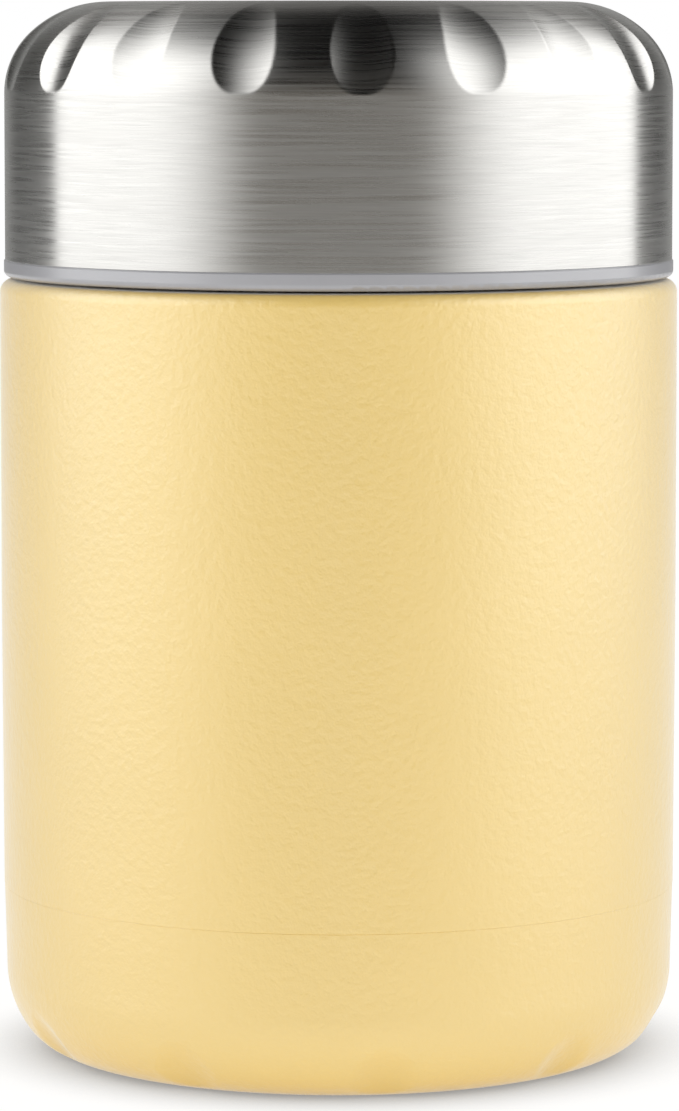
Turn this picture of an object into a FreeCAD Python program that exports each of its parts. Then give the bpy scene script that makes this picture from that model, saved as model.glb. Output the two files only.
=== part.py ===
"""Insulated food jar: a double-walled steel jar with a screw-on steel lid.

The jar stands on the XY plane with its axis on +Z. The outer shell, the base cup and the inner bowl
form the vacuum jar. The lid is a steel dome over a moulded liner whose thread runs on the bowl's neck.
"""
import FreeCAD
import Part
import math
import os
import re
import Sketcher

SIZES = {
    # Overall jar
    "total_height": 145.6,
    "lid_height": 38.3,
    "body_radius": 47.0,
    "shell_wall": 0.6,
    "weld_fit": 0.05,
    # Top and bottom edges of the outer shell
    "body_round": 1.7,
    "seam_height": 23.2,
    "seam_tuck": 0.2,
    "tuck_height": 6.0,
    # Base cup with its rounded heel
    "base_step": 0.25,
    "base_taper": 0.3,
    "heel_run": 9.35,
    "heel_rise": 11.8,
    "heel_toe": 8.2,
    "foot_width": 2.8,
    "recess_height": 2.0,
    "recess_slope": 1.8,
    # Shallow flutes round the heel
    "base_flutes": 10.0,
    "base_flute_tool": 13.0,
    "base_flute_depth": 0.55,
    "base_flute_tilt": 52.0,
    "base_flute_turn": 26.0,
    # Dish that closes the vacuum
    "dish_gap": 0.1,
    "dish_wall": 0.6,
    "dish_room": 2.4,
    "dish_corner": 10.0,
    "dish_spigot": 4.0,
    "dimple_radius": 6.0,
    "dimple_slope": 2.0,
    "dimple_height": 1.5,
    "vent_radius": 0.8,
    "bead_radius": 2.6,
    "bead_height": 1.1,
    # Getter in its cup
    "getter_radius": 4.0,
    "getter_height": 1.8,
    "getter_offset": 20.0,
    "getter_cup_wall": 0.3,
    "getter_fit": 0.1,
    "getter_room": 2.2,
    # Inner bowl and its neck
    "vacuum_gap": 3.8,
    "bowl_wall": 0.6,
    "bowl_corner": 12.0,
    "throat_drop": 13.8,
    "throat_rise": 9.6,
    "neck_step": 9.0,
    "neck_wall": 0.8,
    "neck_length": 14.2,
    # Heat foil round the bowl
    "foil_gap": 0.05,
    "foil_wall": 0.15,
    "foil_margin": 2.5,
    # Screw thread
    "thread_pitch": 5.0,
    "thread_depth": 1.2,
    "thread_foot": 2.1,
    "thread_crest": 1.1,
    "thread_root": 0.3,
    "thread_clearance": 0.4,
    "neck_thread_start": 3.3,
    "neck_thread_margin": 2.35,
    "lid_thread_margin": 0.2,
    # Lid liner
    "lid_gap": 0.4,
    "band_height": 2.4,
    "band_step": 0.55,
    "band_round": 0.9,
    "band_chamfer": 0.2,
    "flange_wall": 2.0,
    "skirt_wall": 1.8,
    "spigot_height": 8.0,
    "spigot_wall": 1.5,
    "spigot_fit": 0.15,
    "roof_wall": 2.0,
    # Sealing ring and plug
    "ring_height": 1.8,
    "ring_gap": 0.3,
    "ring_roof_gap": 0.1,
    "ring_reach": 1.3,
    "ring_round": 0.5,
    "plug_fit": 0.6,
    "plug_depth": 8.5,
    "plug_wall": 1.6,
    "plug_round": 2.5,
    "groove_depth": 1.4,
    # Steel dome
    "lid_step": 0.7,
    "lid_wall": 0.5,
    "dome_run": 14.3,
    "dome_rise": 12.6,
    "dome_round": 11.5,
    "lid_flutes": 18.0,
    "lid_flute_tool": 8.0,
    "lid_flute_depth": 1.25,
    "lid_flute_tilt": 42.0,
    "lid_flute_turn": 13.8,
    "tool_run_out": 1.0,
    # Foam inserts
    "foam_gap": 0.6,
    "foam_flute_room": 1.9,
}

WORDS_OF_THE_SHEET = ("sqrt", "sin", "cos")
FULL_TURN = 360.0

# Radii and heights that several sub-parts share, as formulas in the sizes
BODY_TOP = "(total_height - lid_height)"
THROAT_BOTTOM = f"({BODY_TOP} - throat_drop)"
MOUTH_UP = f"({BODY_TOP} + neck_length)"
NECK_RADIUS = "(body_radius - neck_step)"
BOWL_RADIUS = "(body_radius - shell_wall - vacuum_gap - bowl_wall)"
DISH_FLOOR = "(recess_height + shell_wall + dish_room)"
GETTER_UP = f"({DISH_FLOOR} + dish_wall)"
BOWL_FLOOR = f"({GETTER_UP} + getter_cup_wall + getter_height + getter_room + bowl_wall)"
BOWL_CORNER_UP = f"({BOWL_FLOOR} + bowl_corner)"
LID_RADIUS = "(body_radius - lid_step)"
BAND_RADIUS = "(body_radius - band_step)"
BAND_BOTTOM = f"({BODY_TOP} + lid_gap)"
BAND_TOP = f"({BAND_BOTTOM} + band_height)"
ROOF_UP = f"({MOUTH_UP} + ring_gap + ring_height + ring_roof_gap)"
SKIRT_IN = f"({NECK_RADIUS} + thread_depth + thread_clearance)"
PLUG_OUT = f"({NECK_RADIUS} - neck_wall - plug_fit)"
PLUG_BOTTOM = f"({MOUTH_UP} - plug_depth)"

doc = FreeCAD.newDocument("food_jar")
sheet = doc.addObject("Spreadsheet::Sheet", "Sizes")
for row, (size_name, size_value) in enumerate(SIZES.items(), start=1):
    sheet.set(f"A{row}", size_name)
    sheet.set(f"B{row}", str(size_value))
    sheet.setAlias(f"B{row}", size_name)
doc.recompute()


def bound(formula):
    """Point each size named in a formula at its cell in the sheet."""
    def cell(match):
        word = match.group(0)
        return word if word in WORDS_OF_THE_SHEET else f"Sizes.{word}"
    return re.sub(r"[a-z][a-z_]+", cell, formula)


def value_of(formula):
    """Work out a formula with the sheet's present sizes."""
    return float(sheet.evalExpression(bound(formula)))


def line_to(out, up):
    """A straight stretch of an outline, to a point at radius out and height up."""
    return {"out": out, "up": up, "radius": None, "turn": 0}


def arc_to(out, up, radius, turn):
    """A round stretch. turn is 1 where it runs anticlockwise and -1 where it runs clockwise."""
    return {"out": out, "up": up, "radius": radius, "turn": turn}


def arc_between(start, end, radius, turn):
    """The minor arc between two points with a given radius and direction of travel."""
    chord = end.sub(start)
    half = chord.Length / 2
    rise = math.sqrt(max(radius ** 2 - half ** 2, 0.0))
    across = FreeCAD.Vector(-chord.y, chord.x, 0).normalize()
    centre = start.add(chord.multiply(0.5)).add(across.multiply(rise * turn))
    first = math.atan2(start.y - centre.y, start.x - centre.x)
    last = math.atan2(end.y - centre.y, end.x - centre.x)
    circle = Part.Circle(centre, FreeCAD.Vector(0, 0, 1), radius)
    if turn > 0:
        return Part.ArcOfCircle(circle, first, last)
    return Part.ArcOfCircle(circle, last, first)


def plane_of(body, role):
    """The body's own origin plane with that role."""
    for feature in body.Origin.OriginFeatures:
        if feature.Role == role:
            return feature
    raise RuntimeError(f"no {role} in {body.Label}")


def hold_point(sketch, geometry, end, out, up, name):
    """Hold a point of the sketch at a radius and a height that follow the sheet."""
    for kind, axis, text, tag in (("DistanceX", -2, out, "out"), ("DistanceY", -1, up, "up")):
        size = value_of(text)
        if text == "0":
            sketch.addConstraint(Sketcher.Constraint("PointOnObject", geometry, end, axis))
            continue
        index = sketch.addConstraint(Sketcher.Constraint(kind, -1, 1, geometry, end, size))
        sketch.renameConstraint(index, f"{name}_{tag}")
        sketch.setExpression(f"Constraints.{name}_{tag}", bound(text))


def draw_outline(body, name, stretches):
    """A closed outline in the plane of the axis, made of straight and round stretches."""
    sketch = body.newObject("Sketcher::SketchObject", name)
    sketch.AttachmentSupport = [(plane_of(body, "XZ_Plane"), "")]
    sketch.MapMode = "FlatFace"
    points = [FreeCAD.Vector(value_of(s["out"]), value_of(s["up"]), 0) for s in stretches]
    ends = []
    for place, stretch in enumerate(stretches):
        start = points[place - 1]
        end = points[place]
        if stretch["radius"] is None:
            ends.append((sketch.addGeometry(Part.LineSegment(start, end)), 1, 2))
            continue
        arc = arc_between(start, end, value_of(stretch["radius"]), stretch["turn"])
        first, last = (1, 2) if stretch["turn"] > 0 else (2, 1)
        ends.append((sketch.addGeometry(arc), first, last))
    for place, stretch in enumerate(stretches):
        geometry, _, last = ends[place]
        following, first, _ = ends[(place + 1) % len(ends)]
        sketch.addConstraint(Sketcher.Constraint("Coincident", geometry, last, following, first))
        hold_point(sketch, geometry, last, stretch["out"], stretch["up"], f"point_{place}")
        if stretch["radius"] is not None:
            radius = value_of(stretch["radius"])
            index = sketch.addConstraint(Sketcher.Constraint("Radius", geometry, radius))
            sketch.renameConstraint(index, f"round_{place}")
            sketch.setExpression(f"Constraints.round_{place}", bound(stretch["radius"]))
    return sketch


def turned_body(label, stretches):
    """A body turned about the axis from one outline."""
    body = doc.addObject("PartDesign::Body", label)
    body.Label = label
    sketch = draw_outline(body, f"{label}_outline", stretches)
    turned = body.newObject("PartDesign::Revolution", f"{label}_turned")
    turned.Profile = sketch
    turned.ReferenceAxis = (sketch, ["V_Axis"])
    turned.Angle = FULL_TURN
    sketch.Visibility = False
    doc.recompute()
    return body


def cut_flutes(body, tool, middle_out, middle_up, tilt, lean, length, count):
    """Cut a ring of spoon-shaped flutes with a round tool laid across a rounded edge.

    The tool's axis passes through the middle point and leans by tilt from the jar's own axis:
    outwards where lean is 1, inwards where it is -1.
    """
    flute = body.newObject("PartDesign::SubtractiveCylinder", f"{body.Label}_flute")
    flute.setExpression("Radius", bound(tool))
    flute.setExpression("Height", bound(length))
    lean_axis = FreeCAD.Vector(0, lean, 0)
    flute.Placement = FreeCAD.Placement(FreeCAD.Vector(), FreeCAD.Rotation(lean_axis, value_of(tilt)))
    flute.setExpression("Placement.Rotation.Angle", bound(tilt))
    flute.setExpression("Placement.Base.x", bound(f"{middle_out} - {lean} * {length} / 2 * sin({tilt})"))
    flute.setExpression("Placement.Base.z", bound(f"{middle_up} - {length} / 2 * cos({tilt})"))
    doc.recompute()
    pattern = body.newObject("PartDesign::PolarPattern", f"{body.Label}_flutes")
    pattern.Originals = [flute]
    pattern.Axis = (plane_of(body, "Z_Axis"), [""])
    pattern.Angle = FULL_TURN
    pattern.setExpression("Occurrences", bound(count))
    body.Tip = pattern
    doc.recompute()


def add_thread(body, foot_out, crest_out, middle_up, turns):
    """Add a helical ridge with sloping flanks, from a foot inside the wall to its crest."""
    foot = "thread_foot / 2"
    crest = "thread_crest / 2"
    sketch = draw_outline(body, f"{body.Label}_ridge", [
        line_to(foot_out, f"{middle_up} - {foot}"),
        line_to(crest_out, f"{middle_up} - {crest}"),
        line_to(crest_out, f"{middle_up} + {crest}"),
        line_to(foot_out, f"{middle_up} + {foot}"),
    ])
    ridge = body.newObject("PartDesign::AdditiveHelix", f"{body.Label}_thread")
    ridge.Profile = sketch
    ridge.ReferenceAxis = (sketch, ["V_Axis"])
    ridge.Mode = "pitch-turns-angle"
    ridge.setExpression("Pitch", bound("thread_pitch"))
    ridge.setExpression("Turns", bound(turns))
    ridge.Angle = 0
    ridge.LeftHanded = False
    ridge.Reversed = False
    sketch.Visibility = False
    body.Tip = ridge
    doc.recompute()


def joined(kind, label, base, tool):
    """A Part boolean of two objects, under the sub-part's own name."""
    result = doc.addObject(kind, label)
    result.Label = label
    result.Base = base
    result.Tool = tool
    doc.recompute()
    return result


def turn_about_axis(part, angle):
    """Turn a sub-part about the jar's axis, with the angle taken from the sheet."""
    part.Placement = FreeCAD.Placement(FreeCAD.Vector(), FreeCAD.Rotation(FreeCAD.Vector(0, 0, 1), 1))
    part.setExpression("Placement.Rotation.Angle", bound(angle))


def outer_shell():
    """Coated steel tube, drawn in at the seam and turned over at the top to meet the neck."""
    tuck_curve = "(seam_tuck ^ 2 + tuck_height ^ 2) / (2 * seam_tuck)"
    lip = f"{NECK_RADIUS} + weld_fit"
    return turned_body("outer_shell", [
        line_to("body_radius - seam_tuck", "seam_height"),
        arc_to("body_radius", "seam_height + tuck_height", tuck_curve, 1),
        line_to("body_radius", f"{BODY_TOP} - body_round"),
        arc_to("body_radius - body_round", BODY_TOP, "body_round", 1),
        line_to(lip, BODY_TOP),
        line_to(lip, f"{BODY_TOP} - shell_wall"),
        line_to("body_radius - body_round", f"{BODY_TOP} - shell_wall"),
        arc_to("body_radius - shell_wall", f"{BODY_TOP} - body_round", "body_round - shell_wall", -1),
        line_to("body_radius - shell_wall", "seam_height + tuck_height"),
        arc_to("body_radius - shell_wall - seam_tuck", "seam_height", tuck_curve, -1),
    ])


def cup_body(label, inset, blank):
    """The base cup's solid form, drawn in by inset all round, with the heel's flutes.

    blank is the height by which the form runs on above the seam, where it is used as a tool.
    """
    heel = "(body_radius - base_step - base_taper)"
    toe_middle = f"({heel} - heel_run)"
    toe_rise = "(heel_rise - heel_toe)"
    wide = f"((heel_run ^ 2 + {toe_rise} ^ 2 - heel_toe ^ 2) / (2 * (heel_run - heel_toe)))"
    reach = f"((heel_toe - {inset}) / ({wide} - heel_toe))"
    foot_in = f"({toe_middle} - foot_width)"
    slope = "sqrt(recess_height ^ 2 + recess_slope ^ 2)"
    shift = f"({inset} * ({slope} - recess_slope) / recess_height)"
    top = f"seam_height + {blank}"
    stretches = [
        line_to(f"body_radius - base_step - {inset}", top),
        line_to("0", top),
        line_to("0", f"recess_height + {inset}"),
        line_to(f"{foot_in} - recess_slope - {shift}", f"recess_height + {inset}"),
        line_to(f"{foot_in} - {shift}", inset),
        line_to(toe_middle, inset),
        arc_to(
            f"{toe_middle} + {reach} * ({wide} - heel_run)",
            f"heel_toe - {reach} * {toe_rise}",
            f"heel_toe - {inset}",
            1,
        ),
        arc_to(f"{heel} - {inset}", "heel_rise", f"{wide} - {inset}", 1),
        line_to(f"body_radius - base_step - {inset}", "seam_height"),
    ]
    if blank == "0":
        stretches.pop()
    body = turned_body(label, stretches)
    stand_off = "(heel_toe - base_flute_depth + base_flute_tool)"
    cut_flutes(
        body,
        f"base_flute_tool + {inset}",
        f"({toe_middle} + {stand_off} * sin(base_flute_tilt))",
        f"(heel_toe - {stand_off} * cos(base_flute_tilt))",
        "(90 - base_flute_tilt)",
        1,
        f"(2 * {stand_off})",
        "base_flutes",
    )
    return body


def base_cup():
    """Fluted steel cup welded to the shell at the seam. Its foot ring is what the jar rests on."""
    form = cup_body("base_cup_form", "0", "0")
    hollow = cup_body("base_cup_hollow", "shell_wall", "tool_run_out")
    cup = joined("Part::Cut", "base_cup", form, hollow)
    turn_about_axis(cup, "base_flute_turn")
    return cup


def vacuum_dish():
    """Inner steel dish that closes the vacuum space, with a vent in its dimple."""
    rim = "(body_radius - base_step - shell_wall - dish_gap)"
    wall = "(body_radius - base_step - base_taper - shell_wall - dish_gap)"
    top = "seam_height + dish_spigot"
    knee = f"{DISH_FLOOR} + dish_corner"
    dimple_up = f"{DISH_FLOOR} + dimple_height"
    return turned_body("vacuum_dish", [
        line_to("vent_radius", dimple_up),
        line_to("dimple_radius - dimple_slope", dimple_up),
        line_to("dimple_radius", DISH_FLOOR),
        line_to(f"{wall} - dish_corner", DISH_FLOOR),
        arc_to(wall, knee, "dish_corner", 1),
        line_to(rim, "seam_height"),
        line_to(rim, top),
        line_to(f"{rim} - dish_wall", top),
        line_to(f"{rim} - dish_wall", "seam_height"),
        line_to(f"{wall} - dish_wall", knee),
        arc_to(f"{wall} - dish_corner", f"{DISH_FLOOR} + dish_wall", "dish_corner - dish_wall", -1),
        line_to("dimple_radius", f"{DISH_FLOOR} + dish_wall"),
        line_to("dimple_radius - dimple_slope", f"{dimple_up} + dish_wall"),
        line_to("vent_radius", f"{dimple_up} + dish_wall"),
    ])


def seal_bead():
    """Glass bead melted over the vent once the air is drawn out."""
    face = f"{DISH_FLOOR} + dimple_height"
    bead_curve = "(bead_radius ^ 2 + bead_height ^ 2) / (2 * bead_height)"
    return turned_body("seal_bead", [
        line_to("0", face),
        line_to("0", f"{face} - bead_height"),
        arc_to("bead_radius", face, bead_curve, 1),
    ])


def getter_cup():
    """Small open cup, spot-welded to the dish, that holds the getter."""
    cup_out = "getter_radius + getter_fit + getter_cup_wall"
    cup = turned_body("getter_cup", [
        line_to("0", "0"),
        line_to(cup_out, "0"),
        line_to(cup_out, "getter_height"),
        line_to("getter_radius + getter_fit", "getter_height"),
        line_to("getter_radius + getter_fit", "getter_cup_wall"),
        line_to("0", "getter_cup_wall"),
    ])
    cup.setExpression("Placement.Base.x", bound("getter_offset"))
    cup.setExpression("Placement.Base.z", bound(GETTER_UP))
    return cup


def getter_pellet():
    """Pellet that takes up the last gas left in the vacuum space."""
    pellet = doc.addObject("Part::Cylinder", "getter_pellet")
    pellet.Label = "getter_pellet"
    pellet.setExpression("Radius", bound("getter_radius"))
    pellet.setExpression("Height", bound("getter_height"))
    pellet.setExpression("Placement.Base.x", bound("getter_offset"))
    pellet.setExpression("Placement.Base.z", bound(f"{GETTER_UP} + getter_cup_wall"))
    return pellet


def inner_bowl():
    """Drawn steel bowl that holds the food, with its throat, threaded neck and rounded mouth."""
    floor_out = f"{BOWL_FLOOR} - bowl_wall"
    side = f"({BOWL_RADIUS} + bowl_wall)"
    throat_top = f"({THROAT_BOTTOM} + throat_rise)"
    throat_middle = f"({THROAT_BOTTOM} + throat_rise / 2)"
    mouth = f"({NECK_RADIUS} - neck_wall)"
    lip = "neck_wall / 2"
    out_step = f"({side} - {NECK_RADIUS})"
    in_step = f"({BOWL_RADIUS} - {mouth})"
    out_curve = f"({out_step} ^ 2 + throat_rise ^ 2) / (4 * {out_step})"
    in_curve = f"({in_step} ^ 2 + throat_rise ^ 2) / (4 * {in_step})"
    bowl = turned_body("inner_bowl", [
        line_to("0", floor_out),
        line_to(f"{BOWL_RADIUS} - bowl_corner", floor_out),
        arc_to(side, BOWL_CORNER_UP, "bowl_corner + bowl_wall", 1),
        line_to(side, THROAT_BOTTOM),
        arc_to(f"({side} + {NECK_RADIUS}) / 2", throat_middle, out_curve, 1),
        arc_to(NECK_RADIUS, throat_top, out_curve, -1),
        line_to(NECK_RADIUS, f"{MOUTH_UP} - {lip}"),
        arc_to(f"{NECK_RADIUS} - {lip}", MOUTH_UP, lip, 1),
        arc_to(mouth, f"{MOUTH_UP} - {lip}", lip, 1),
        line_to(mouth, throat_top),
        arc_to(f"({BOWL_RADIUS} + {mouth}) / 2", throat_middle, in_curve, 1),
        arc_to(BOWL_RADIUS, THROAT_BOTTOM, in_curve, -1),
        line_to(BOWL_RADIUS, BOWL_CORNER_UP),
        arc_to(f"{BOWL_RADIUS} - bowl_corner", BOWL_FLOOR, "bowl_corner", -1),
        line_to("0", BOWL_FLOOR),
    ])
    add_thread(
        bowl,
        f"{NECK_RADIUS} - thread_root",
        f"{NECK_RADIUS} + thread_depth",
        f"({BODY_TOP} + neck_thread_start)",
        "(neck_length - neck_thread_start - thread_foot / 2 - neck_thread_margin) / thread_pitch",
    )
    return bowl


def heat_foil():
    """Thin metal foil wrapped round the bowl, which turns radiant heat back."""
    inside = f"{BOWL_RADIUS} + bowl_wall + foil_gap"
    bottom = f"{BOWL_CORNER_UP} + foil_margin"
    top = f"{THROAT_BOTTOM} - foil_margin"
    return turned_body("heat_foil", [
        line_to(inside, bottom),
        line_to(f"{inside} + foil_wall", bottom),
        line_to(f"{inside} + foil_wall", top),
        line_to(inside, top),
    ])


def lid_liner():
    """Moulded liner: the grey band that shows, a spigot inside the dome, a threaded skirt and a roof."""
    skirt_out = f"{SKIRT_IN} + skirt_wall"
    spigot_out = f"({LID_RADIUS} - lid_wall - spigot_fit)"
    flange_top = f"{BAND_BOTTOM} + flange_wall"
    start = f"({BODY_TOP} + neck_thread_start + thread_pitch / 2)"
    liner = turned_body("lid_liner", [
        line_to(SKIRT_IN, BAND_BOTTOM),
        line_to(f"{BAND_RADIUS} - band_round", BAND_BOTTOM),
        arc_to(BAND_RADIUS, f"{BAND_BOTTOM} + band_round", "band_round", 1),
        line_to(BAND_RADIUS, f"{BAND_TOP} - band_chamfer"),
        line_to(f"{BAND_RADIUS} - band_chamfer", BAND_TOP),
        line_to(spigot_out, BAND_TOP),
        line_to(spigot_out, f"{BAND_TOP} + spigot_height"),
        line_to(f"{spigot_out} - spigot_wall", f"{BAND_TOP} + spigot_height"),
        line_to(f"{spigot_out} - spigot_wall", flange_top),
        line_to(skirt_out, flange_top),
        line_to(skirt_out, f"{ROOF_UP} + roof_wall"),
        line_to("0", f"{ROOF_UP} + roof_wall"),
        line_to("0", ROOF_UP),
        line_to(SKIRT_IN, ROOF_UP),
    ])
    add_thread(
        liner,
        f"{SKIRT_IN} + thread_root",
        f"{SKIRT_IN} - thread_depth",
        start,
        f"({MOUTH_UP} - {start} - thread_foot / 2 - lid_thread_margin) / thread_pitch",
    )
    return liner


def lid_plug():
    """Food-side cup welded under the liner's roof, with a groove that holds the sealing ring."""
    neck = f"{PLUG_OUT} - groove_depth"
    return turned_body("lid_plug", [
        line_to("0", PLUG_BOTTOM),
        line_to(f"{PLUG_OUT} - plug_round", PLUG_BOTTOM),
        arc_to(PLUG_OUT, f"{PLUG_BOTTOM} + plug_round", "plug_round", 1),
        line_to(PLUG_OUT, MOUTH_UP),
        line_to(neck, MOUTH_UP),
        line_to(neck, ROOF_UP),
        line_to(f"{neck} - plug_wall", ROOF_UP),
        line_to(f"{neck} - plug_wall", f"{PLUG_BOTTOM} + plug_wall"),
        line_to("0", f"{PLUG_BOTTOM} + plug_wall"),
    ])


def plug_insulation():
    """Foam disc in the plug."""
    edge = f"{PLUG_OUT} - groove_depth - plug_wall - foam_gap"
    return turned_body("plug_insulation", [
        line_to("0", f"{PLUG_BOTTOM} + plug_wall"),
        line_to(edge, f"{PLUG_BOTTOM} + plug_wall"),
        line_to(edge, f"{ROOF_UP} - foam_gap"),
        line_to("0", f"{ROOF_UP} - foam_gap"),
    ])


def sealing_ring():
    """Silicone ring that is pressed on the mouth's rim. It is drawn just clear of what it seals."""
    inside = f"{PLUG_OUT} - groove_depth + ring_gap"
    outside = f"{NECK_RADIUS} + ring_reach"
    bottom = f"{MOUTH_UP} + ring_gap"
    top = f"{ROOF_UP} - ring_roof_gap"
    return turned_body("sealing_ring", [
        line_to(inside, bottom),
        line_to(f"{outside} - ring_round", bottom),
        arc_to(outside, f"{bottom} + ring_round", "ring_round", 1),
        line_to(outside, f"{top} - ring_round"),
        arc_to(f"{outside} - ring_round", top, "ring_round", 1),
        line_to(inside, top),
    ])


def dome_body(label, inset, blank):
    """The dome's solid form, drawn in by inset all round, with the shoulder's finger flutes.

    blank is the length by which the form runs on below the dome's rim, where it is used as a tool.
    """
    round_out = f"({LID_RADIUS} - dome_round)"
    dome_up = "(total_height - dome_rise)"
    crown = "((dome_run - dome_round) ^ 2 + dome_rise ^ 2 - dome_round ^ 2)"
    wide = f"({crown} / (2 * (dome_rise - dome_round)))"
    reach = f"((dome_round - {inset}) / ({wide} - dome_round))"
    body = turned_body(label, [
        line_to("0", f"{BAND_TOP} - {blank}"),
        line_to(f"{LID_RADIUS} - {inset}", f"{BAND_TOP} - {blank}"),
        line_to(f"{LID_RADIUS} - {inset}", dome_up),
        arc_to(
            f"{round_out} + {reach} * (dome_run - dome_round)",
            f"{dome_up} + {reach} * ({wide} - dome_rise)",
            f"dome_round - {inset}",
            1,
        ),
        arc_to(f"{LID_RADIUS} - dome_run", f"total_height - {inset}", f"{wide} - {inset}", 1),
        line_to("0", f"total_height - {inset}"),
    ])
    stand_off = "(dome_round - lid_flute_depth + lid_flute_tool)"
    cut_flutes(
        body,
        f"lid_flute_tool + {inset}",
        f"({round_out} + {stand_off} * cos(lid_flute_tilt))",
        f"({dome_up} + {stand_off} * sin(lid_flute_tilt))",
        "lid_flute_tilt",
        -1,
        f"(2 * {stand_off})",
        "lid_flutes",
    )
    return body


def lid_dome():
    """Brushed steel dome, pressed from sheet, with finger flutes round its shoulder."""
    form = dome_body("lid_dome_form", "0", "0")
    hollow = dome_body("lid_dome_hollow", "lid_wall", "tool_run_out")
    dome = joined("Part::Cut", "lid_dome", form, hollow)
    turn_about_axis(dome, "lid_flute_turn")
    return dome


def lid_insulation():
    """Foam cap between the liner and the dome, kept clear of the flutes' inner bulges."""
    side = f"({LID_RADIUS} - lid_wall - spigot_fit - spigot_wall - foam_gap)"
    skirt_out = f"({SKIRT_IN} + skirt_wall + weld_fit)"
    roof = f"{ROOF_UP} + roof_wall"
    top = "(total_height - lid_wall - foam_gap)"
    shoulder_up = "(total_height - dome_rise)"
    return turned_body("lid_insulation", [
        line_to("0", roof),
        line_to(skirt_out, roof),
        line_to(skirt_out, f"{BAND_BOTTOM} + flange_wall"),
        line_to(side, f"{BAND_BOTTOM} + flange_wall"),
        line_to(side, shoulder_up),
        line_to(f"{LID_RADIUS} - dome_run - foam_flute_room", top),
        line_to("0", top),
    ])


subparts = [
    outer_shell(),
    base_cup(),
    vacuum_dish(),
    seal_bead(),
    getter_cup(),
    getter_pellet(),
    inner_bowl(),
    heat_foil(),
    lid_dome(),
    lid_liner(),
    lid_plug(),
    plug_insulation(),
    lid_insulation(),
    sealing_ring(),
]
doc.recompute()

for item in doc.Objects:
    faults = [state for state in item.State if state in ("Invalid", "Error")]
    if faults:
        raise RuntimeError(f"{item.Label} is {faults}")

for subpart in subparts:
    if subpart.Shape.isNull() or not subpart.Shape.isValid():
        raise RuntimeError(f"{subpart.Label} has no valid shape")

os.makedirs("parts", exist_ok=True)
for subpart in subparts:
    shape = subpart.Shape
    shape.exportStep(f"parts/{subpart.Label}.step")
    print(f"{subpart.Label}: {len(shape.Solids)} solid, {shape.Volume / 1000:.3f} cm3")
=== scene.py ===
"""Looks of the insulated food jar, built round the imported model. All lengths are in metres."""

import math

import bpy
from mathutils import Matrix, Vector


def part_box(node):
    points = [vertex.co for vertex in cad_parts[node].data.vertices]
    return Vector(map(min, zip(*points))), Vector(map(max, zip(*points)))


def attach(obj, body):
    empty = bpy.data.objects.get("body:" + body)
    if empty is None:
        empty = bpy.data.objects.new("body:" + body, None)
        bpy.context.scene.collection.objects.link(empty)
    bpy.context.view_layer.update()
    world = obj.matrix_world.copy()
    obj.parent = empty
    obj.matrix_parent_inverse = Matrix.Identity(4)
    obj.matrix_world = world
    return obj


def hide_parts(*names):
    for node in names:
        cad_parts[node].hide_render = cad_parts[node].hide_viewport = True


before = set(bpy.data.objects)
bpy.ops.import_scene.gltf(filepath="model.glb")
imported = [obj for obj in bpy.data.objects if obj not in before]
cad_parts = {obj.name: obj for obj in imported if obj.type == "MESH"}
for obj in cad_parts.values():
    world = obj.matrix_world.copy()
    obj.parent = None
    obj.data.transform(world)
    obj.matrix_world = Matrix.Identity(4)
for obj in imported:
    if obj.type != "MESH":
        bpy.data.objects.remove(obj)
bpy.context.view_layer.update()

MM = 0.001

# The lid's dome: its shoulder is two arcs, and its flutes are leaf-shaped dents in them
DOME_RUN = 14.3 * MM
DOME_RISE = 12.6 * MM
DOME_ROUND = 11.5 * MM
DOME_WALL = 0.5 * MM
LID_FLUTES = 18
LID_FLUTE_TURN = math.radians(13.8)
LID_FLUTE_HALF_WIDTH = 4.2 * MM
LID_FLUTE_DEPTH = 0.6 * MM
LID_FLUTE_LOW = math.radians(2.0)
LID_FLUTE_HIGH = math.radians(77.0)
LID_FLUTE_SKEW = 0.7

# The base cup: its heel is two arcs, with the flutes of a round tool across them
HEEL_RUN = 9.35 * MM
HEEL_RISE = 11.8 * MM
HEEL_TOE = 8.2 * MM
BASE_TAPER = 0.3 * MM
FOOT_WIDTH = 2.8 * MM
RECESS_HEIGHT = 2.0 * MM
RECESS_SLOPE = 1.8 * MM
BASE_FLUTES = 10
BASE_FLUTE_TOOL = 13.0 * MM
BASE_FLUTE_DEPTH = 0.85 * MM
BASE_FLUTE_TILT = math.radians(52.0)
BASE_FLUTE_TURN = math.radians(26.0)
FLUTE_REACH = 0.96
BLEND = 0.35 * MM

# The outer shell, whose radius is less by the tuck at the seam
SHELL_WALL = 0.6 * MM
SHELL_ROUND = 1.7 * MM
SHELL_TUCK = 0.2 * MM
TUCK_HEIGHT = 40.0 * MM
LIP_RADIUS = 38.05 * MM
EDGE_ROUND = 0.07 * MM

# Fineness of the turned meshes
FLUTED_SEGMENTS = 1080
PLAIN_SEGMENTS = 360
ARC_STEP = math.radians(1.0)
WALL_STEP = 4.0 * MM
FOOT_STEP = 0.3 * MM
SAME_POINT = 1e-7
TENT_RINGS = 48
TENT_SEGMENTS = 96

# Depths of the surfaces' bumps, and how far light spreads in the silicone
BRUSH_DEPTH = 0.003 * MM
PEEL_DEPTH = 0.12 * MM
COAT_GRAIN_DEPTH = 0.03 * MM
MOULD_GRAIN_DEPTH = 0.01 * MM
BEAD_DEPTH = -0.2 * MM
SILICONE_SCATTER = 1.5 * MM

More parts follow.
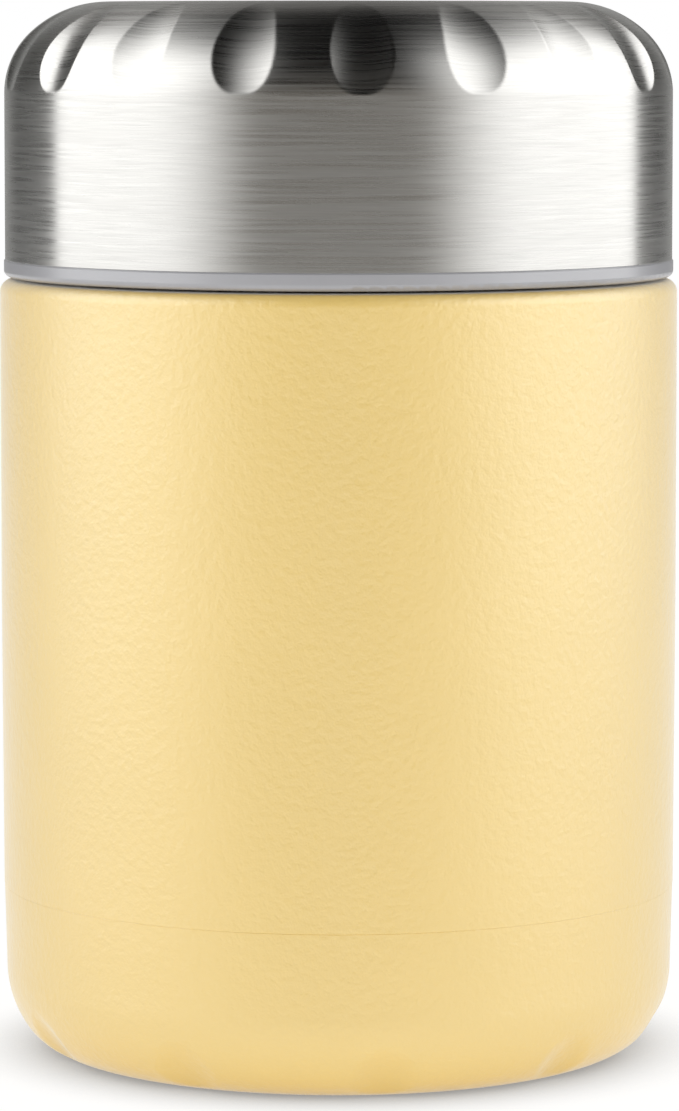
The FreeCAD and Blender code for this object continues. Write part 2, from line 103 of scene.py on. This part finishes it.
# Scales of the surfaces' noises. The brushing has one round the axis and one along the outline
BRUSH_FINE = (150.0, 7000.0)
BRUSH_BROAD = (50.0, 2600.0)
BRUSH_FINE_SHARE = 0.7
PEEL_SCALE = 900.0
COAT_GRAIN_SCALE = 2600.0
COAT_PATCH_SCALE = 60.0
MOULD_GRAIN_SCALE = 2200.0
MOULD_CLOUD_SCALE = 140.0
SILICONE_CLOUD_SCALE = 200.0
BEAD_SCALE = 400.0
METAL_CLOUD_SCALE = 250.0

# The camera, fitted to the photograph's frame and to the jar's outlines in it
PHOTO_WIDTH = 679
PHOTO_HEIGHT = 1111
SENSOR = 36.0
FOCAL_PIXELS = 5180.0
HORIZON_ROW = 27.0
AXIS_COLUMN = 338.6
CAMERA_DISTANCE = 0.720
CAMERA_HEIGHT = 0.1421
CAMERA_PITCH = math.radians(4.5)
CLIP_RANGE = (0.01, 50.0)

# Light that only matt surfaces see
WORLD_LIGHT = 0.71
FILL_POWER = 4.2
FILL_SIZE = (1.6, 0.5)
FILL_PLACE = (0.0, -1.6, 0.3)
FILL_AIM = (0.0, 1.6, -0.25)

# The floor's glow where it is seen, its share towards matt surfaces, which is painted bounce light,
# and the painted shadow that darkens the glow by the foot
FLOOR_REACH = 12.0
FLOOR_GLOW = 0.9
PAINTED_BOUNCE_SHARE = 0.45
PAINTED_SHADOW_REACH = 0.012
PAINTED_SHADOW_DEPTH = 0.6

# What shiny surfaces mirror: a round tent of cards and panels
CARD_RADIUS = 1.0
CARD_HEIGHT = 0.12
PANEL_GLOW = 2.6
PANEL_LOW_SHARE = 0.25
TENT_TURN = 0.085
TENT_LEAN = 0.3
FRONT_BROWN = (0.175, 0.142, 0.095, 1.0)
FRONT_BLACK = (0.006, 0.006, 0.006, 1.0)
REAR_DARK = (0.09, 0.09, 0.087, 1.0)
REAR_PALE = (0.4, 0.4, 0.39, 1.0)
REAR_HIGH = (0.34, 0.33, 0.32, 1.0)

# Where the tent's cards pass into each other, as shares of its radius
PANEL_SIDE_FADE = (0.45, 0.95)
PANEL_TOP_FADE = (0.95, 0.6)
FRONT_TOP_FADE = (0.04, 0.22)
REAR_MIDDLE_FADE = (0.75, 1.0)
REAR_TOP_FADE = (0.3, 0.7)
REAR_EDGE_FADE = (0.4, 0.44)


def srgb(red, green, blue):
    """A colour given in the 0 to 255 steps of a screen, as linear light."""
    def linear(step):
        share = step / 255
        return share / 12.92 if share <= 0.04045 else ((share + 0.055) / 1.055) ** 2.4
    return (linear(red), linear(green), linear(blue), 1.0)


def arc(centre, radius, first, last):
    """Points on an arc in the plane of the axis, with both ends. Angles are from outwards, up."""
    steps = max(2, math.ceil(abs(last - first) / ARC_STEP))
    points = []
    for step in range(steps + 1):
        angle = first + (last - first) * step / steps
        points.append((centre[0] + radius * math.cos(angle), centre[1] + radius * math.sin(angle)))
    return points


def straight(start, end, step=WALL_STEP):
    """Points on a straight stretch, with both ends, no further apart than step."""
    steps = max(1, math.ceil(math.dist(start, end) / step))
    points = []
    for place in range(steps + 1):
        share = place / steps
        points.append(tuple(a + (b - a) * share for a, b in zip(start, end)))
    return points


def joined(*stretches):
    """One outline from stretches that share their end points."""
    outline = []
    for stretch in stretches:
        for point in stretch:
            if not outline or math.dist(outline[-1], point) > SAME_POINT:
                outline.append(point)
    return outline


def turned(name, outline, segments, closed, shape=None):
    """A mesh turned about the jar's axis from an outline of (out, up) points.

    A closed outline makes a ring. An open one starts and ends on the axis. shape may move each
    point.
    """
    vertices = []
    rings = []
    for out, up in outline:
        if out < SAME_POINT:
            rings.append([len(vertices)])
            vertices.append((0.0, 0.0, up))
            continue
        ring = []
        for segment in range(segments):
            angle = 2 * math.pi * segment / segments
            moved_out, moved_up = shape(out, up, angle) if shape else (out, up)
            ring.append(len(vertices))
            vertices.append((moved_out * math.cos(angle), moved_out * math.sin(angle), moved_up))
        rings.append(ring)
    pairs = list(zip(rings, rings[1:]))
    if closed:
        pairs.append((rings[-1], rings[0]))
    faces = []
    for lower, upper in pairs:
        for segment in range(segments):
            after = (segment + 1) % segments
            if len(lower) == 1 and len(upper) == 1:
                break
            if len(lower) == 1:
                faces.append((lower[0], upper[after], upper[segment]))
            elif len(upper) == 1:
                faces.append((lower[segment], lower[after], upper[0]))
            else:
                faces.append((lower[segment], lower[after], upper[after], upper[segment]))
    mesh = bpy.data.meshes.new(name)
    mesh.from_pydata(vertices, [], faces)
    mesh.validate()
    for polygon in mesh.polygons:
        polygon.use_smooth = True
    piece = bpy.data.objects.new(name, mesh)
    bpy.context.collection.objects.link(piece)
    return piece


def flute_shape(middle, normal, tool):
    """How the base's soft flutes move the points of its heel.

    The round tool's axis passes through middle, square to normal, in the plane of each flute. Points
    further across than FLUTE_REACH of its radius stay where they are.
    """
    spacing = 2 * math.pi / BASE_FLUTES

    def move(out, up, angle):
        away = (angle - BASE_FLUTE_TURN + spacing / 2) % spacing - spacing / 2
        across = out * math.sin(away)
        if abs(across) > FLUTE_REACH * tool:
            return out, up
        along = out * math.cos(away)
        height = (along - middle[0]) * normal[0] + (up - middle[1]) * normal[1]
        sink = height + math.sqrt(tool ** 2 - across ** 2)
        if sink <= -BLEND or height > 0:
            return out, up
        if sink < BLEND:
            sink = (sink + BLEND) ** 2 / (4 * BLEND)
        return out - sink * normal[0], up - sink * normal[1]
    return move


def leaf_shape(near, far, turn):
    """How the lid's leaf-shaped flutes move the points of its shoulder.

    near and far are the middles of the shoulder's two arcs, which meet at the angle turn.
    """
    spacing = 2 * math.pi / LID_FLUTES

    def move(out, up, angle):
        away = (angle - LID_FLUTE_TURN + spacing / 2) % spacing - spacing / 2
        tilt = math.atan2(up - near[1], out - near[0])
        if tilt > turn:
            tilt = math.atan2(up - far[1], out - far[0])
        share = (tilt - LID_FLUTE_LOW) / (LID_FLUTE_HIGH - LID_FLUTE_LOW)
        if not 0 < share < 1:
            return out, up
        swell = math.sin(math.pi * share ** LID_FLUTE_SKEW)
        place = out * math.sin(away) / (LID_FLUTE_HALF_WIDTH * math.sqrt(swell))
        if abs(place) >= 1:
            return out, up
        sink = LID_FLUTE_DEPTH * swell * (1 - place ** 2)
        return out - sink * math.cos(tilt), up - sink * math.sin(tilt)
    return move


def radius_of(node):
    """A node's radius, from the narrower side of its box."""
    low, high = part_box(node)
    return min(high[0], high[1], -low[0], -low[1])


def lid_dome():
    """The steel dome with its finger flutes, as a closed thin sheet."""
    low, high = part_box("lid_dome")
    radius = radius_of("lid_dome")
    rim = low[2]
    top = high[2]
    shoulder = top - DOME_RISE
    run = DOME_RUN - DOME_ROUND
    wide = (run ** 2 + DOME_RISE ** 2 - DOME_ROUND ** 2) / (2 * (DOME_RISE - DOME_ROUND))
    near = (radius - DOME_ROUND, shoulder)
    far = (radius - DOME_RUN, top - wide)
    turn = math.atan2(near[1] - far[1], near[0] - far[0])
    edge = EDGE_ROUND
    outside = joined(
        arc((radius - edge, rim + edge), edge, -math.pi / 2, 0),
        straight((radius, rim + edge), (radius, shoulder)),
        arc(near, DOME_ROUND, 0, turn),
        arc(far, wide, turn, math.pi / 2),
        straight((far[0], top), (0.0, top)),
    )
    inner = radius - DOME_WALL
    inside = joined(
        straight((0.0, top - DOME_WALL), (far[0], top - DOME_WALL)),
        arc(far, wide - DOME_WALL, math.pi / 2, turn),
        arc(near, DOME_ROUND - DOME_WALL, turn, 0),
        straight((inner, shoulder), (inner, rim)),
        straight((inner, rim), (radius - edge, rim)),
    )
    outline = list(reversed(outside)) + [point for point in reversed(inside) if point != outside[0]]
    return turned("lid_dome_sheet", outline, FLUTED_SEGMENTS, False, leaf_shape(near, far, turn))


def base_cup():
    """The coated base cup with its fluted heel, foot ring and recess, as a closed thin sheet."""
    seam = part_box("base_cup")[1][2]
    rim_radius = radius_of("base_cup")
    radius = rim_radius - BASE_TAPER
    toe = radius - HEEL_RUN
    rise = HEEL_RISE - HEEL_TOE
    wide = (HEEL_RUN ** 2 + rise ** 2 - HEEL_TOE ** 2) / (2 * (HEEL_RUN - HEEL_TOE))
    near = (toe, HEEL_TOE)
    far = (radius - wide, HEEL_RISE)
    turn = math.atan2(near[1] - far[1], near[0] - far[0])
    foot = toe - FOOT_WIDTH
    hollow = foot - RECESS_SLOPE
    edge = EDGE_ROUND
    outside = joined(
        straight((0.0, RECESS_HEIGHT), (hollow, RECESS_HEIGHT)),
        straight((hollow, RECESS_HEIGHT), (foot, 0.0), FOOT_STEP),
        straight((foot, 0.0), (toe, 0.0), FOOT_STEP),
        arc(near, HEEL_TOE, -math.pi / 2, turn),
        arc(far, wide, turn, 0.0),
        straight((radius, HEEL_RISE), (rim_radius, seam - edge)),
        arc((rim_radius - edge, seam - edge), edge, 0, math.pi / 2),
    )
    wall = SHELL_WALL
    inside = joined(
        straight((rim_radius - edge, seam), (rim_radius - wall, seam)),
        straight((rim_radius - wall, seam), (radius - wall, HEEL_RISE)),
        arc(far, wide - wall, 0.0, turn),
        arc(near, HEEL_TOE - wall, turn, -math.pi / 2),
        straight((toe, wall), (foot, wall), FOOT_STEP),
        straight((foot, wall), (hollow, RECESS_HEIGHT + wall), FOOT_STEP),
        straight((hollow, RECESS_HEIGHT + wall), (0.0, RECESS_HEIGHT + wall)),
    )
    normal = (math.sin(BASE_FLUTE_TILT), -math.cos(BASE_FLUTE_TILT))
    stand_off = HEEL_TOE - BASE_FLUTE_DEPTH + BASE_FLUTE_TOOL
    middle = (near[0] + stand_off * normal[0], near[1] + stand_off * normal[1])
    shape_out = flute_shape(middle, normal, BASE_FLUTE_TOOL)
    shape_in = flute_shape(middle, normal, BASE_FLUTE_TOOL + wall)
    row_shape = {point: shape_out for point in outside}
    row_shape.update({point: shape_in for point in inside if point not in row_shape})

    def by_row(out, up, angle):
        return row_shape[(out, up)](out, up, angle)
    outline = outside + [point for point in inside if point != outside[-1]]
    return turned("base_cup_sheet", outline, FLUTED_SEGMENTS, False, by_row)


def outer_shell():
    """The coated outer shell, with its rounded top edge and the fine edge at the seam."""
    low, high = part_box("outer_shell")
    radius = radius_of("outer_shell")
    seam = low[2]
    top = high[2]
    wall = SHELL_WALL
    edge = EDGE_ROUND
    bottom = radius - SHELL_TUCK
    outside = joined(
        arc((bottom - edge, seam + edge), edge, -math.pi / 2, 0.0),
        straight((bottom, seam + edge), (radius, seam + TUCK_HEIGHT)),
        straight((radius, seam + TUCK_HEIGHT), (radius, top - SHELL_ROUND)),
        arc((radius - SHELL_ROUND, top - SHELL_ROUND), SHELL_ROUND, 0.0, math.pi / 2),
        straight((radius - SHELL_ROUND, top), (LIP_RADIUS, top)),
    )
    inside = joined(
        straight((LIP_RADIUS, top - wall), (radius - SHELL_ROUND, top - wall)),
        arc((radius - SHELL_ROUND, top - SHELL_ROUND), SHELL_ROUND - wall, math.pi / 2, 0.0),
        straight((radius - wall, top - SHELL_ROUND), (radius - wall, seam + TUCK_HEIGHT)),
        straight((radius - wall, seam + TUCK_HEIGHT), (bottom - wall, seam)),
    )
    return turned("outer_shell_sheet", outside + inside, PLAIN_SEGMENTS, True)


class Material:
    """A node material with a few short ways to add and join nodes."""

    def __init__(self, name):
        self.material = bpy.data.materials.new(name)
        self.material.use_nodes = True
        self.nodes = self.material.node_tree.nodes
        self.links = self.material.node_tree.links
        self.shader = self.nodes["Principled BSDF"]

    def set(self, **sockets):
        """Set the shader's own sockets by name, with spaces as underscores."""
        for socket, setting in sockets.items():
            self.shader.inputs[socket.replace("_", " ")].default_value = setting

    def add(self, kind, **settings):
        """A new node with its properties."""
        node = self.nodes.new(kind)
        for key, setting in settings.items():
            setattr(node, key, setting)
        return node

    def join(self, source, target):
        """Link an output socket to an input socket."""
        self.links.new(source, target)

    def math(self, operation, first, second=None):
        """A sum of two values. Each may be a number or an output socket."""
        node = self.add("ShaderNodeMath", operation=operation)
        for place, term in enumerate((first, second)):
            if term is None:
                continue
            if isinstance(term, (int, float)):
                node.inputs[place].default_value = term
            else:
                self.join(term, node.inputs[place])
        return node.outputs[0]

    def ramp(self, source, stops):
        """A colour ramp from grey levels or colours at their places."""
        node = self.add("ShaderNodeValToRGB")
        elements = node.color_ramp.elements
        while len(elements) < len(stops):
            elements.new(0.5)
        for element, (place, tone) in zip(elements, stops):
            element.position = place
            element.color = tone if isinstance(tone, tuple) else (tone, tone, tone, 1.0)
        self.join(source, node.inputs["Fac"])
        return node.outputs["Color"]

    def fade(self, source, low, high):
        """A smooth step from 0 at low to 1 at high. low may be the greater."""
        node = self.add("ShaderNodeMapRange", interpolation_type="SMOOTHSTEP")
        node.inputs["From Min"].default_value = min(low, high)
        node.inputs["From Max"].default_value = max(low, high)
        if low > high:
            node.inputs["To Min"].default_value = 1.0
            node.inputs["To Max"].default_value = 0.0
        self.join(source, node.inputs["Value"])
        return node.outputs["Result"]

    def blend(self, share, first, second):
        """A colour between two. Each may be a colour or an output socket."""
        node = self.add("ShaderNodeMix", data_type="RGBA")
        self.join(share, node.inputs["Factor"])
        for socket, tone in ((node.inputs[6], first), (node.inputs[7], second)):
            if isinstance(tone, tuple):
                socket.default_value = tone
            else:
                self.join(tone, socket)
        return node.outputs[2]

    def noise(self, vector, scale, detail=3.0, roughness=0.55):
        """A noise value from 0 to 1."""
        node = self.add("ShaderNodeTexNoise")
        node.inputs["Scale"].default_value = scale
        node.inputs["Detail"].default_value = detail
        node.inputs["Roughness"].default_value = roughness
        self.join(vector, node.inputs["Vector"])
        return node.outputs["Fac"]

    def bump(self, height, distance, strength=1.0, before=None):
        """A bump from a height value, over an earlier bump if there is one."""
        node = self.add("ShaderNodeBump")
        node.inputs["Strength"].default_value = strength
        node.inputs["Distance"].default_value = distance
        self.join(height, node.inputs["Height"])
        if before is not None:
            self.join(before, node.inputs["Normal"])
        return node.outputs["Normal"]

    def object_place(self):
        """The point on the piece, in the piece's own frame."""
        return self.add("ShaderNodeTexCoord").outputs["Object"]

    def turned_place(self, round_scale, along_scale):
        """The point, squeezed so that a noise runs in long fine lines round the jar's axis."""
        place = self.add("ShaderNodeSeparateXYZ")
        self.join(self.object_place(), place.inputs[0])
        squares = self.math("ADD", self.math("MULTIPLY", place.outputs["X"], place.outputs["X"]),
                            self.math("MULTIPLY", place.outputs["Y"], place.outputs["Y"]))
        along = self.math("SUBTRACT", place.outputs["Z"], self.math("SQRT", squares))
        vector = self.add("ShaderNodeCombineXYZ")
        self.join(self.math("MULTIPLY", place.outputs["X"], round_scale), vector.inputs["X"])
        self.join(self.math("MULTIPLY", place.outputs["Y"], round_scale), vector.inputs["Y"])
        self.join(self.math("MULTIPLY", along, along_scale), vector.inputs["Z"])
        return vector.outputs[0]


def brushed_steel(name, tone, roughness, anisotropic):
    """Stainless steel brushed round the axis: fine lines, and highlights drawn out across them."""
    steel = Material(name)
    steel.set(Metallic=1.0, Anisotropic=anisotropic, Anisotropic_Rotation=0.25)
    tangent = steel.add("ShaderNodeTangent", direction_type="RADIAL", axis="Z")
    steel.join(tangent.outputs[0], steel.shader.inputs["Tangent"])
    fine = steel.noise(steel.turned_place(*BRUSH_FINE), 1.0, 1.0, 0.5)
    broad = steel.noise(steel.turned_place(*BRUSH_BROAD), 1.0, 1.0, 0.5)
    mixed = steel.math("ADD", steel.math("MULTIPLY", fine, BRUSH_FINE_SHARE),
                       steel.math("MULTIPLY", broad, 1.0 - BRUSH_FINE_SHARE))
    dark = tuple(channel * 0.88 for channel in tone[:3]) + (1.0,)
    colour = steel.ramp(mixed, [(0.3, dark), (0.62, tone)])
    steel.join(colour, steel.shader.inputs["Base Color"])
    rough = steel.ramp(broad, [(0.3, roughness * 0.85), (0.7, roughness * 1.2)])
    steel.join(rough, steel.shader.inputs["Roughness"])
    steel.join(steel.bump(mixed, BRUSH_DEPTH), steel.shader.inputs["Normal"])
    return steel.material


def powder_coat(name):
    """Pale yellow powder coat with a fine, leathery orange peel."""
    coat = Material(name)
    coat.set(Specular_IOR_Level=1.0, IOR=2.1, Specular_Tint=(0.6, 0.8, 1.0, 1.0))
    coat.set(Sheen_Weight=0.8, Sheen_Roughness=0.4)
    place = coat.object_place()
    peel = coat.noise(place, PEEL_SCALE, 2.0, 0.5)
    grain = coat.noise(place, COAT_GRAIN_SCALE, 2.0, 0.5)
    patch = coat.noise(place, COAT_PATCH_SCALE, 2.0, 0.5)
    tone = coat.ramp(patch, [(0.3, srgb(242, 199, 62)), (0.7, srgb(244, 201, 67))])
    coat.join(tone, coat.shader.inputs["Base Color"])
    coat.join(coat.ramp(grain, [(0.3, 0.39), (0.7, 0.49)]), coat.shader.inputs["Roughness"])
    first = coat.bump(peel, PEEL_DEPTH, 0.9)
    coat.join(coat.bump(grain, COAT_GRAIN_DEPTH, 0.8, first), coat.shader.inputs["Normal"])
    return coat.material


def moulding(name, tone, roughness):
    """Satin moulded plastic with a faint grain."""
    plastic = Material(name)
    plastic.set(Roughness=roughness, Specular_IOR_Level=1.0, IOR=1.6)
    place = plastic.object_place()
    cloud = plastic.noise(place, MOULD_CLOUD_SCALE)
    pale = tuple(min(1.0, channel * 1.06) for channel in tone[:3]) + (1.0,)
    colour = plastic.ramp(cloud, [(0.3, tone), (0.7, pale)])
    plastic.join(colour, plastic.shader.inputs["Base Color"])
    grain = plastic.noise(place, MOULD_GRAIN_SCALE)
    plastic.join(plastic.bump(grain, MOULD_GRAIN_DEPTH, 0.4), plastic.shader.inputs["Normal"])
    return plastic.material


def silicone(name):
    """Milky soft silicone."""
    rubber = Material(name)
    rubber.set(Roughness=0.45, Subsurface_Weight=0.3, Subsurface_Scale=SILICONE_SCATTER)
    cloud = rubber.noise(rubber.object_place(), SILICONE_CLOUD_SCALE)
    tone = rubber.ramp(cloud, [(0.3, srgb(214, 216, 216)), (0.7, srgb(226, 228, 228))])
    rubber.join(tone, rubber.shader.inputs["Base Color"])
    return rubber.material


def foam(name):
    """White moulded bead foam."""
    beads = Material(name)
    beads.set(Roughness=0.8)
    cells = beads.add("ShaderNodeTexVoronoi")
    cells.inputs["Scale"].default_value = BEAD_SCALE
    beads.join(beads.object_place(), cells.inputs["Vector"])
    away = cells.outputs["Distance"]
    tone = beads.ramp(away, [(0.0, srgb(244, 244, 240)), (0.9, srgb(222, 222, 216))])
    beads.join(tone, beads.shader.inputs["Base Color"])
    beads.join(beads.bump(away, BEAD_DEPTH, 0.6), beads.shader.inputs["Normal"])
    return beads.material


def plain_metal(name, tone, roughness):
    """Metal with a cloudy surface, for the small pieces inside."""
    metal = Material(name)
    metal.set(Metallic=1.0)
    cloud = metal.noise(metal.object_place(), METAL_CLOUD_SCALE)
    dark = tuple(channel * 0.8 for channel in tone[:3]) + (1.0,)
    metal.join(metal.ramp(cloud, [(0.3, dark), (0.7, tone)]), metal.shader.inputs["Base Color"])
    rough = metal.ramp(cloud, [(0.3, roughness * 0.8), (0.7, roughness * 1.2)])
    metal.join(rough, metal.shader.inputs["Roughness"])
    return metal.material


def dress(piece, material):
    """Give a piece one material."""
    piece.data.materials.clear()
    piece.data.materials.append(material)


def build_pieces():
    """Replace the sheets that show with smooth ones, and finish every piece."""
    lid_steel = brushed_steel("lid_steel", srgb(184, 183, 180), 0.28, 0.8)
    bowl_steel = brushed_steel("bowl_steel", srgb(200, 200, 198), 0.28, 0.6)
    sheet_steel = brushed_steel("sheet_steel", srgb(186, 186, 184), 0.4, 0.3)
    coat = powder_coat("yellow_coat")
    grey = moulding("grey_moulding", srgb(152, 152, 156), 0.3)
    white_foam = foam("white_foam")

    dome = lid_dome()
    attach(dome, "lid")
    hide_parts("lid_dome")
    dress(dome, lid_steel)

    cup = base_cup()
    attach(cup, "jar")
    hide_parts("base_cup")
    dress(cup, coat)

    shell = outer_shell()
    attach(shell, "jar")
    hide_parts("outer_shell")
    dress(shell, coat)

    finishes = {
        "vacuum_dish": sheet_steel,
        "seal_bead": moulding("seal_glass", srgb(70, 76, 70), 0.15),
        "getter_cup": sheet_steel,
        "getter_pellet": plain_metal("getter_alloy", srgb(90, 90, 92), 0.6),
        "inner_bowl": bowl_steel,
        "heat_foil": plain_metal("copper_foil", srgb(214, 150, 110), 0.25),
        "lid_liner": grey,
        "lid_plug": grey,
        "plug_insulation": white_foam,
        "lid_insulation": white_foam,
        "sealing_ring": silicone("clear_silicone"),
    }
    for node, material in finishes.items():
        dress(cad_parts[node], material)


def add_camera():
    """The photograph's view: level with the lid's top, from far off, looking a little down."""
    data = bpy.data.cameras.new("photo_camera")
    data.sensor_width = SENSOR
    data.lens = FOCAL_PIXELS * SENSOR / PHOTO_HEIGHT
    data.clip_start, data.clip_end = CLIP_RANGE
    centre_row = HORIZON_ROW + FOCAL_PIXELS * math.tan(CAMERA_PITCH)
    data.shift_y = (centre_row - PHOTO_HEIGHT / 2) / PHOTO_HEIGHT
    data.shift_x = (PHOTO_WIDTH / 2 - AXIS_COLUMN) / PHOTO_HEIGHT
    camera = bpy.data.objects.new("photo_camera", data)
    camera.location = (0.0, -CAMERA_DISTANCE, CAMERA_HEIGHT)
    camera.rotation_euler = (math.pi / 2 - CAMERA_PITCH, 0.0, 0.0)
    bpy.context.collection.objects.link(camera)
    bpy.context.scene.camera = camera


def add_lights():
    """A soft fill from the front, over the world's even light."""
    data = bpy.data.lights.new("front_fill", "AREA")
    data.shape = "RECTANGLE"
    data.size, data.size_y = FILL_SIZE
    data.energy = FILL_POWER
    lamp = bpy.data.objects.new("front_fill", data)
    lamp.location = FILL_PLACE
    lamp.rotation_euler = Vector(FILL_AIM).to_track_quat("-Z", "Y").to_euler()
    lamp.visible_glossy = False
    bpy.context.collection.objects.link(lamp)


def shown_ray(tree):
    """1 for camera, glossy and transmission rays, 0 for the rest."""
    nodes = tree.nodes
    path = nodes.new("ShaderNodeLightPath")
    first = nodes.new("ShaderNodeMath")
    first.operation = "MAXIMUM"
    tree.links.new(path.outputs["Is Camera Ray"], first.inputs[0])
    tree.links.new(path.outputs["Is Glossy Ray"], first.inputs[1])
    second = nodes.new("ShaderNodeMath")
    second.operation = "MAXIMUM"
    tree.links.new(first.outputs[0], second.inputs[0])
    tree.links.new(path.outputs["Is Transmission Ray"], second.inputs[1])
    return second.outputs[0]


def add_world():
    """A white background where it is seen, and an even light elsewhere."""
    world = bpy.data.worlds.new("studio")
    world.use_nodes = True
    bpy.context.scene.world = world
    tree = world.node_tree
    background = tree.nodes["Background"]
    background.inputs["Color"].default_value = (1.0, 1.0, 1.0, 1.0)
    strength = tree.nodes.new("ShaderNodeMath")
    strength.operation = "MULTIPLY_ADD"
    tree.links.new(shown_ray(tree), strength.inputs[0])
    strength.inputs[1].default_value = 1.0 - WORLD_LIGHT
    strength.inputs[2].default_value = WORLD_LIGHT
    tree.links.new(strength.outputs[0], background.inputs["Strength"])


def add_floor():
    """A white floor that takes the jar's soft shadow: cast on its faint matt part, and painted into
    its glow near the foot. Its glow also reaches matt surfaces as painted bounce light.
    """
    mesh = bpy.data.meshes.new("floor")
    reach = FLOOR_REACH
    corners = [(-reach, -reach, 0), (reach, -reach, 0), (reach, reach, 0), (-reach, reach, 0)]
    mesh.from_pydata(corners, [], [(0, 1, 2, 3)])
    floor = bpy.data.objects.new("floor", mesh)
    bpy.context.collection.objects.link(floor)
    white = Material("floor_white")
    white.set(Roughness=0.6, Specular_IOR_Level=0.0, Emission_Color=(1.0, 1.0, 1.0, 1.0))
    shown = shown_ray(white.material.node_tree)
    tone = white.blend(shown, (0.95, 0.95, 0.95, 1.0), (0.15, 0.15, 0.15, 1.0))
    white.join(tone, white.shader.inputs["Base Color"])
    # Painted shadow: occlusion near the jar's foot darkens the floor's glow
    shade = white.add("ShaderNodeAmbientOcclusion", samples=8)
    shade.inputs["Distance"].default_value = PAINTED_SHADOW_REACH
    outside_painted_shadow = white.fade(shade.outputs["AO"], -PAINTED_SHADOW_DEPTH, 1.0)
    # Painted bounce light: a share of the glow also reaches matt surfaces and lifts the jar's heel
    seen = white.math("MAXIMUM", shown, PAINTED_BOUNCE_SHARE)
    glow = white.math("MULTIPLY", white.math("MULTIPLY", seen, outside_painted_shadow), FLOOR_GLOW)
    white.join(glow, white.shader.inputs["Emission Strength"])
    dress(floor, white.material)


def add_cards():
    """The studio round the jar, as shiny surfaces mirror it: a tent with cards and panels."""
    slopes = [math.pi * ring / TENT_RINGS for ring in range(TENT_RINGS + 1)]
    outline = [(CARD_RADIUS * math.sin(slope), -CARD_RADIUS * math.cos(slope)) for slope in slopes]
    tent = turned("studio_cards", outline, TENT_SEGMENTS, False)
    tent.location = (0.0, 0.0, CARD_HEIGHT)
    for kind in ("camera", "diffuse", "shadow", "transmission", "volume_scatter"):
        setattr(tent, f"visible_{kind}", False)
    dress(tent, card_material())


def card_material():
    """White panels at both sides, a brown card in front, black above it and dark cards behind."""
    cards = Material("studio_cards")
    place = cards.add("ShaderNodeSeparateXYZ")
    cards.join(cards.object_place(), place.inputs[0])
    across, back, up = (cards.math("DIVIDE", place.outputs[axis], CARD_RADIUS) for axis in "XYZ")
    above = cards.math("MAXIMUM", up, 0.0)
    lean = cards.math("MULTIPLY", above, TENT_LEAN)
    side = cards.math("ADD", cards.math("ABSOLUTE", across), lean)
    level = cards.math("SUBTRACT", back, cards.math("MULTIPLY", across, TENT_TURN))
    depth = cards.math("SUBTRACT", level, lean)
    low_share = cards.math("MULTIPLY", cards.fade(up, *PANEL_TOP_FADE), 1.0 - PANEL_LOW_SHARE)
    panel = cards.math("MULTIPLY", cards.math("ADD", low_share, PANEL_LOW_SHARE), PANEL_GLOW)
    front = cards.blend(cards.fade(up, *FRONT_TOP_FADE), FRONT_BROWN, FRONT_BLACK)
    ahead = cards.blend(cards.fade(side, *PANEL_SIDE_FADE), front, panel)
    low_rear = cards.blend(cards.fade(back, *REAR_MIDDLE_FADE), REAR_DARK, REAR_PALE)
    rear = cards.blend(cards.fade(up, *REAR_TOP_FADE), low_rear, REAR_HIGH)
    glowing = cards.add("ShaderNodeEmission")
    seen = cards.blend(cards.fade(depth, *REAR_EDGE_FADE), ahead, rear)
    cards.join(seen, glowing.inputs["Color"])
    cards.join(glowing.outputs[0], cards.nodes["Material Output"].inputs["Surface"])
    return cards.material


add_camera()
build_pieces()
add_lights()
add_world()
add_floor()
add_cards()
bpy.context.scene.view_settings.view_transform = "Standard"
